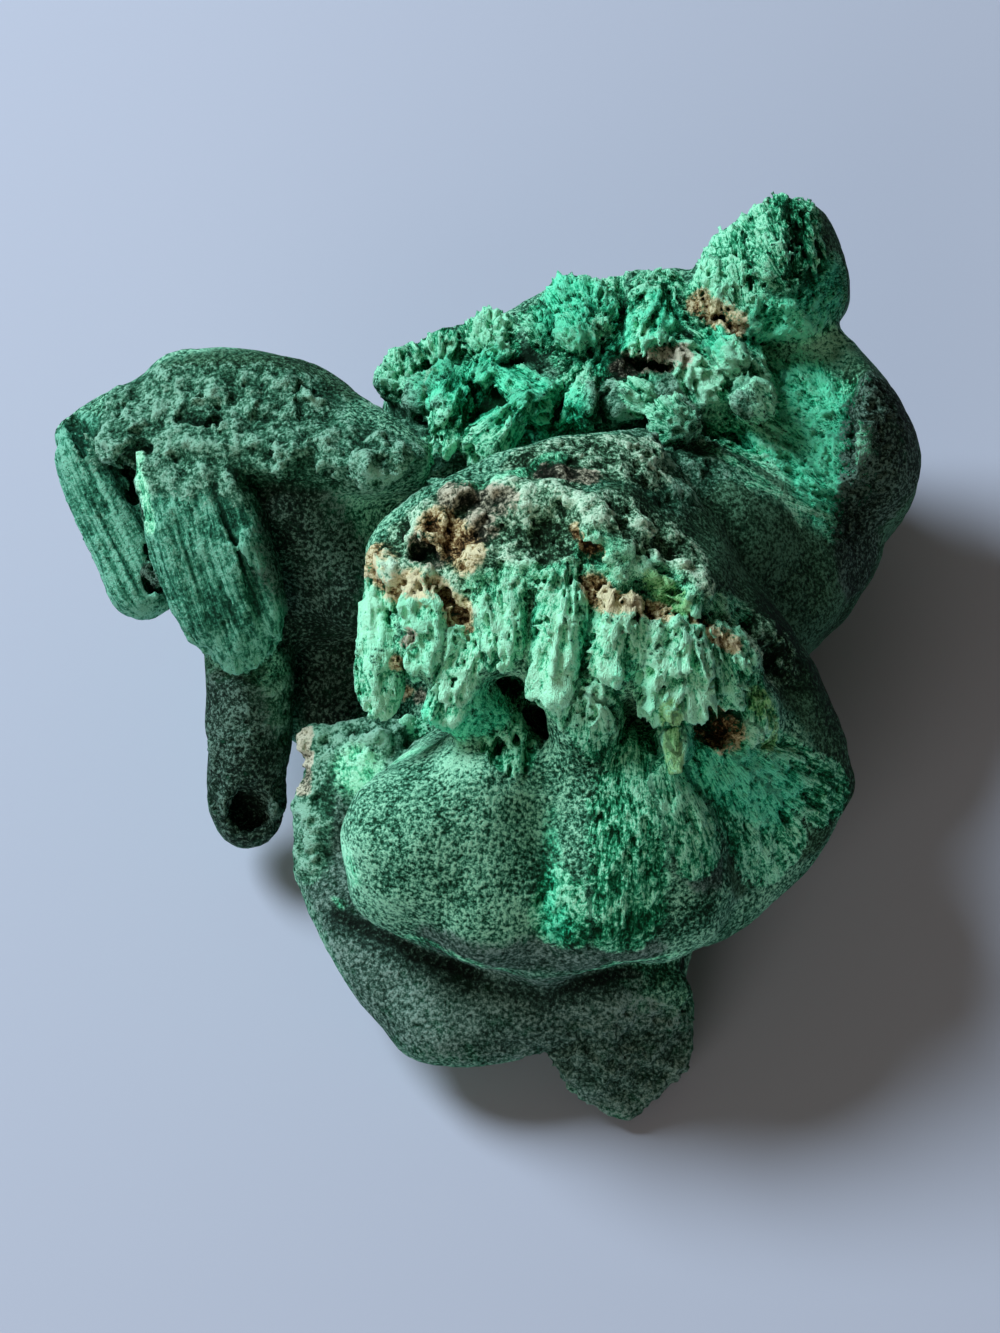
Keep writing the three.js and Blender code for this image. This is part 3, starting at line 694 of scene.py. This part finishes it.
class Paint:
    """A material with one Principled shader, and short ways to add nodes to it."""

    def __init__(self, name):
        self.material = bpy.data.materials.new(name)
        self.material.use_nodes = True
        self.tree = self.material.node_tree
        self.shader = self.tree.nodes["Principled BSDF"]

    def node(self, kind, inputs, **settings):
        """A node with its inputs, by name or number, joined to sockets or set to values."""
        node = self.tree.nodes.new(kind)
        for name, value in settings.items():
            setattr(node, name, value)
        for name, value in inputs.items():
            self.put(node.inputs[name], value)
        return node

    def put(self, socket, value):
        """Joins a socket to another, or sets it to a value."""
        if isinstance(value, bpy.types.NodeSocket):
            self.tree.links.new(value, socket)
        else:
            socket.default_value = value

    def mask(self, name):
        """The number that the mesh stores under a name."""
        return self.node("ShaderNodeAttribute", {}, attribute_name=name).outputs["Fac"]

    def sum(self, terms, bias=0.0):
        """The sum of (value, weight) terms and a bias."""
        total = bias
        for value, weight in terms:
            step = self.node("ShaderNodeMath", {0: value, 1: weight, 2: total}, operation="MULTIPLY_ADD")
            total = step.outputs[0]
        return total

    def fade(self, value, low, high):
        """0 where a value is under low, 1 where it is over high, and smooth between."""
        inputs = {"Value": value, "From Min": low, "From Max": high}
        return self.node("ShaderNodeMapRange", inputs, interpolation_type="SMOOTHSTEP").outputs["Result"]

    def noise(self, vector, scale, roughness):
        """Noise between about 0 and 1."""
        inputs = {"Vector": vector, "Scale": scale, "Detail": OCTAVES, "Roughness": roughness}
        return self.node("ShaderNodeTexNoise", inputs).outputs["Fac"]

    def cells(self, vector, scale):
        """A tone of its own for each cell of a broken pattern."""
        return self.node("ShaderNodeTexVoronoi", {"Vector": vector, "Scale": scale}).outputs["Color"]

    def shaken(self, vector, by, scale, amount):
        """A vector shifted to and fro by noise that another one is read by, up to about half an amount."""
        noise = self.node("ShaderNodeTexNoise", {"Vector": by, "Scale": scale, "Detail": 1.0})
        inputs = {0: noise.outputs["Color"], 1: (0.5, 0.5, 0.5)}
        shift = self.node("ShaderNodeVectorMath", inputs, operation="SUBTRACT")
        inputs = {0: shift.outputs[0], 1: (amount, amount, amount), 2: vector}
        return self.node("ShaderNodeVectorMath", inputs, operation="MULTIPLY_ADD").outputs[0]

    def ramp(self, value, tones):
        """The colour that tones at STOPS give a value."""
        node = self.node("ShaderNodeValToRGB", {"Fac": value})
        elements = node.color_ramp.elements
        while len(elements) < len(tones):
            elements.new(1)
        for element, position, colour in zip(elements, STOPS, tones):
            element.position = position
            element.color = (*colour, 1)
        return node.outputs["Color"]

    def mix(self, share, first, second):
        """Two colours mixed, with a share of the second. Its numbers are those of the colour sockets."""
        inputs = {0: share, 6: first, 7: second}
        return self.node("ShaderNodeMix", inputs, data_type="RGBA").outputs[2]


# Colours from the dark of the grain, at the bottom of the relief, where they paint shade into the hollows, to
# its pale tips, and where each one is on the ramp.
STOPS = [0.24, 0.39, 0.5, 0.61, 0.76]
VELVET_TONES = [
    (0.002, 0.02, 0.008), (0.01, 0.075, 0.038), (0.042, 0.2, 0.12),
    (0.135, 0.42, 0.27), (0.34, 0.76, 0.52),
]
LUSH_TONES = [
    (0.001, 0.032, 0.01), (0.002, 0.11, 0.044), (0.01, 0.27, 0.135),
    (0.034, 0.54, 0.29), (0.16, 0.88, 0.54),
]
FIBRE_TONES = [
    (0.001, 0.026, 0.009), (0.002, 0.095, 0.036), (0.014, 0.22, 0.1),
    (0.075, 0.5, 0.27), (0.36, 0.94, 0.63),
]
MINT_AND_HIGHLIGHT_TONES = [
    (0.002, 0.03, 0.011), (0.012, 0.15, 0.068), (0.056, 0.4, 0.21),
    (0.16, 0.68, 0.39), (0.42, 0.96, 0.66),
]
LIME_TONES = [
    (0.004, 0.03, 0.006), (0.022, 0.12, 0.03), (0.07, 0.32, 0.1),
    (0.17, 0.55, 0.2), (0.36, 0.8, 0.38),
]
CREST_TONES = [
    (0.004, 0.014, 0.006), (0.017, 0.062, 0.031), (0.075, 0.21, 0.12),
    (0.23, 0.5, 0.33), (0.58, 0.88, 0.66),
]
OLIVE_AND_SHADE_TONES = [
    (0.003, 0.012, 0.006), (0.008, 0.036, 0.017), (0.018, 0.07, 0.036),
    (0.04, 0.13, 0.07), (0.11, 0.29, 0.18),
]
CRUST_TONES = [
    (0.003, 0.016, 0.008), (0.01, 0.058, 0.03), (0.03, 0.13, 0.076),
    (0.08, 0.25, 0.16), (0.26, 0.54, 0.4),
]
DARK_AND_SHADE_TONES = [
    (0.002, 0.006, 0.004), (0.005, 0.015, 0.01), (0.012, 0.034, 0.023),
    (0.03, 0.075, 0.052), (0.13, 0.24, 0.19),
]
GREY_TONES = [
    (0.008, 0.022, 0.016), (0.022, 0.06, 0.044), (0.05, 0.12, 0.092),
    (0.095, 0.19, 0.15), (0.22, 0.36, 0.31),
]
ROD_TONES = [
    (0.004, 0.034, 0.018), (0.011, 0.088, 0.05), (0.027, 0.17, 0.1),
    (0.058, 0.29, 0.18), (0.2, 0.56, 0.4),
]
IRON_TONES = [
    (0.012, 0.008, 0.003), (0.085, 0.048, 0.018), (0.26, 0.18, 0.08),
    (0.46, 0.4, 0.2), (0.76, 0.74, 0.48),
]
ASH_TONES = [
    (0.006, 0.008, 0.005), (0.034, 0.04, 0.028), (0.11, 0.125, 0.088),
    (0.27, 0.285, 0.205), (0.58, 0.6, 0.46),
]

# The noises of the colours: how many waves to a metre, or to a strand's width for streaks, and how rough.
STIPPLE = (2600, 0.7)
MOTTLE = (620, 0.65)
PATCHES = (130, 0.55)
STREAKS = (2.2, 0.7)

# Flakes among the strands: how many to a strand's width, and what frays them, in waves to a metre and in
# strands' widths.
FLAKES = 1.7
FLAKE_FRAY = (1500, 1.2)

# How far over or under the smooth surface the tone still changes: it falls in the hollows, which paints shade
# into them, and rises on the tips.
RELIEF_RANGE = 0.9

# Grains, each a bias and the weights of the layers in its sum. The first three say where on its ramp a colour
# is, edge makes the rims of the coats ragged, and the last two are heights for the bump.
# Every colour grain is lifted where light is painted and lowered where shade is painted.
EVERYWHERE = {"patches": 0.5, "paler_and_painted_light": 0.14, "deeper_and_painted_shade": -0.2}
GRAINS = {
    "nap": (-1.03, {"stipple": 1.9, "mottle": 0.5, "relief": 0.25, **EVERYWHERE}),
    "streaky": (
        -1.41, {"streaks": 1.3, "flakes": 0.26, "stipple": 0.9, "mottle": 0.5, "relief": 0.5, **EVERYWHERE},
    ),
    "crusty": (-1.21, {"stipple": 1.5, "mottle": 1.0, "relief": 0.5, **EVERYWHERE}),
    "edge": (-1.4, {"mottle": 2.6, "stipple": 2.2}),
    "nap height": (0.0, {"stipple": 0.8, "mottle": 0.6}),
    "strand height": (0.0, {"streaks": 0.8, "stipple": 0.6}),
}

# Coats over the velvet, the topmost last: the mask, the grain, the tones, and the values of the ragged mask
# where the coat starts and where it covers.
COATS = [
    ("grey", "nap", GREY_TONES, 0.1, 0.9),
    ("olive_and_shade", "nap", OLIVE_AND_SHADE_TONES, 0.3, 0.65),
    ("rods", "streaky", ROD_TONES, 0.25, 0.5),
    ("crust", "crusty", CRUST_TONES, 0.25, 0.5),
    ("crest", "crusty", CREST_TONES, 0.25, 0.5),
    ("dark_and_shade", "nap", DARK_AND_SHADE_TONES, 0.2, 0.7),
    ("fibre", "streaky", FIBRE_TONES, 0.25, 0.5),
    ("lush", "streaky", LUSH_TONES, 0.1, 1.0),
    # Painted shade, in the darkest tones.
    ("skin", "nap", DARK_AND_SHADE_TONES, 0.3, 0.6),
    ("mint_and_highlight", "streaky", MINT_AND_HIGHLIGHT_TONES, 0.2, 1.0),
    ("lime", "streaky", LIME_TONES, 0.3, 0.8),
    ("ash", "crusty", ASH_TONES, 0.3, 0.8),
    ("iron", "crusty", IRON_TONES, 0.3, 0.8),
]

# The finish, and the bump: its depth, and between which values of the fibre mask it turns from the nap's
# height to the strands'.
ROUGHNESS = 0.8
SPECULAR = 0.08
BUMP_DEPTH = 0.45
STRAND_BUMP = (0.3, 0.6)


def malachite_paint():
    """The specimen's material."""
    paint = Paint("malachite")
    place = paint.node("ShaderNodeTexCoord", {}).outputs["Object"]
    strand = paint.node("ShaderNodeAttribute", {}, attribute_name="strand").outputs["Vector"]
    layers = {
        "stipple": paint.noise(place, *STIPPLE),
        "mottle": paint.noise(place, *MOTTLE),
        "patches": paint.noise(place, *PATCHES),
        "streaks": paint.noise(strand, *STREAKS),
        "flakes": paint.cells(paint.shaken(strand, place, *FLAKE_FRAY), FLAKES),
        "relief": paint.fade(paint.mask("relief"), -RELIEF_RANGE, RELIEF_RANGE),
        # Painted light and painted shade from the strokes.
        "paler_and_painted_light": paint.mask("paler_and_painted_light"),
        "deeper_and_painted_shade": paint.mask("deeper_and_painted_shade"),
    }
    grains = {}
    for name, (bias, weights) in GRAINS.items():
        grains[name] = paint.sum([(layers[layer], weight) for layer, weight in weights.items()], bias)

    colour = paint.ramp(grains["nap"], VELVET_TONES)
    for name, grain, tones, low, high in COATS:
        share = paint.fade(paint.sum([(paint.mask(name), grains["edge"])]), low, high)
        colour = paint.mix(share, colour, paint.ramp(grains[grain], tones))
    paint.put(paint.shader.inputs["Base Color"], colour)
    paint.shader.inputs["Roughness"].default_value = ROUGHNESS
    paint.shader.inputs["Specular IOR Level"].default_value = SPECULAR

    stranded = paint.fade(paint.mask("fibre"), *STRAND_BUMP)
    height = paint.mix(stranded, grains["nap height"], grains["strand height"])
    bump = paint.node("ShaderNodeBump", {"Strength": 1.0, "Distance": BUMP_DEPTH * MM, "Height": height})
    paint.put(paint.shader.inputs["Normal"], bump.outputs["Normal"])
    return paint.material


def add_specimen():
    """The specimen's surface, which stands for the solid."""
    field, soft = carved()
    skin = skin_of(field)
    add_masks(skin.data, soft)
    skin.data.materials.append(malachite_paint())
    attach(skin, BODY)
    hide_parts(NODE)


# The camera sees nothing nearer than this, in metres.
NEAREST = 0.01


def add_camera():
    """The camera, at the photograph's viewing angle."""
    lens = bpy.data.cameras.new("camera")
    lens.lens = LENS
    lens.clip_start = NEAREST
    camera = bpy.data.objects.new("camera", lens)
    camera.location = EYE * MM
    camera.rotation_mode = "QUATERNION"
    camera.rotation_quaternion = Vector(-BACK).to_track_quat("-Z", "Y")
    bpy.context.scene.collection.objects.link(camera)
    bpy.context.scene.camera = camera


# The floor, with half the length of its side.
FLOOR_HALF = 1500
FLOOR_COLOUR = (0.45, 0.50, 0.62)
FLOOR_ROUGHNESS = 0.9


def add_floor():
    """A plain pale floor."""
    corners = FLOOR_HALF * np.array([[-1, -1, 0], [1, -1, 0], [1, 1, 0], [-1, 1, 0]])
    floor = mesh_object("floor", corners, np.array([[0, 1, 2, 3]]))
    paint = Paint("floor")
    paint.shader.inputs["Base Color"].default_value = (*FLOOR_COLOUR, 1)
    paint.shader.inputs["Roughness"].default_value = FLOOR_ROUGHNESS
    floor.data.materials.append(paint.material)


# The window and the fill: where they are and how wide, in metres, their powers in watts and their colours.
# The sky is the light of the room from all sides.
KEY_PLACE = (-0.58, 0.32, 0.68)
KEY_WIDTH = 0.42
KEY_POWER = 11.5
KEY_COLOUR = (0.84, 0.93, 1.0)
FILL_PLACE = (-0.35, -0.85, 0.38)
FILL_WIDTH = 0.6
FILL_POWER = 2.5
FILL_COLOUR = (1.0, 0.88, 0.76)
SKY_COLOUR = (1.0, 0.80, 0.62)
SKY_STRENGTH = 0.10


def add_lamp(name, place, width, power, colour):
    """A round soft lamp that shines at the specimen."""
    lamp = bpy.data.lights.new(name, "AREA")
    lamp.shape = "DISK"
    lamp.size = width
    lamp.energy = power
    lamp.color = colour
    holder = bpy.data.objects.new(name, lamp)
    holder.location = place
    holder.rotation_mode = "QUATERNION"
    holder.rotation_quaternion = (-Vector(place)).to_track_quat("-Z", "Y")
    bpy.context.scene.collection.objects.link(holder)


def add_light():
    """Cool soft light from a window behind the left side, and a little warm light from the room."""
    add_lamp("window", KEY_PLACE, KEY_WIDTH, KEY_POWER, KEY_COLOUR)
    add_lamp("fill", FILL_PLACE, FILL_WIDTH, FILL_POWER, FILL_COLOUR)
    world = bpy.data.worlds.new("room")
    world.use_nodes = True
    world.node_tree.nodes["Background"].inputs["Color"].default_value = (*SKY_COLOUR, 1)
    world.node_tree.nodes["Background"].inputs["Strength"].default_value = SKY_STRENGTH
    bpy.context.scene.world = world


add_camera()
add_floor()
add_light()
bpy.context.scene.view_settings.view_transform = "Standard"
add_specimen()
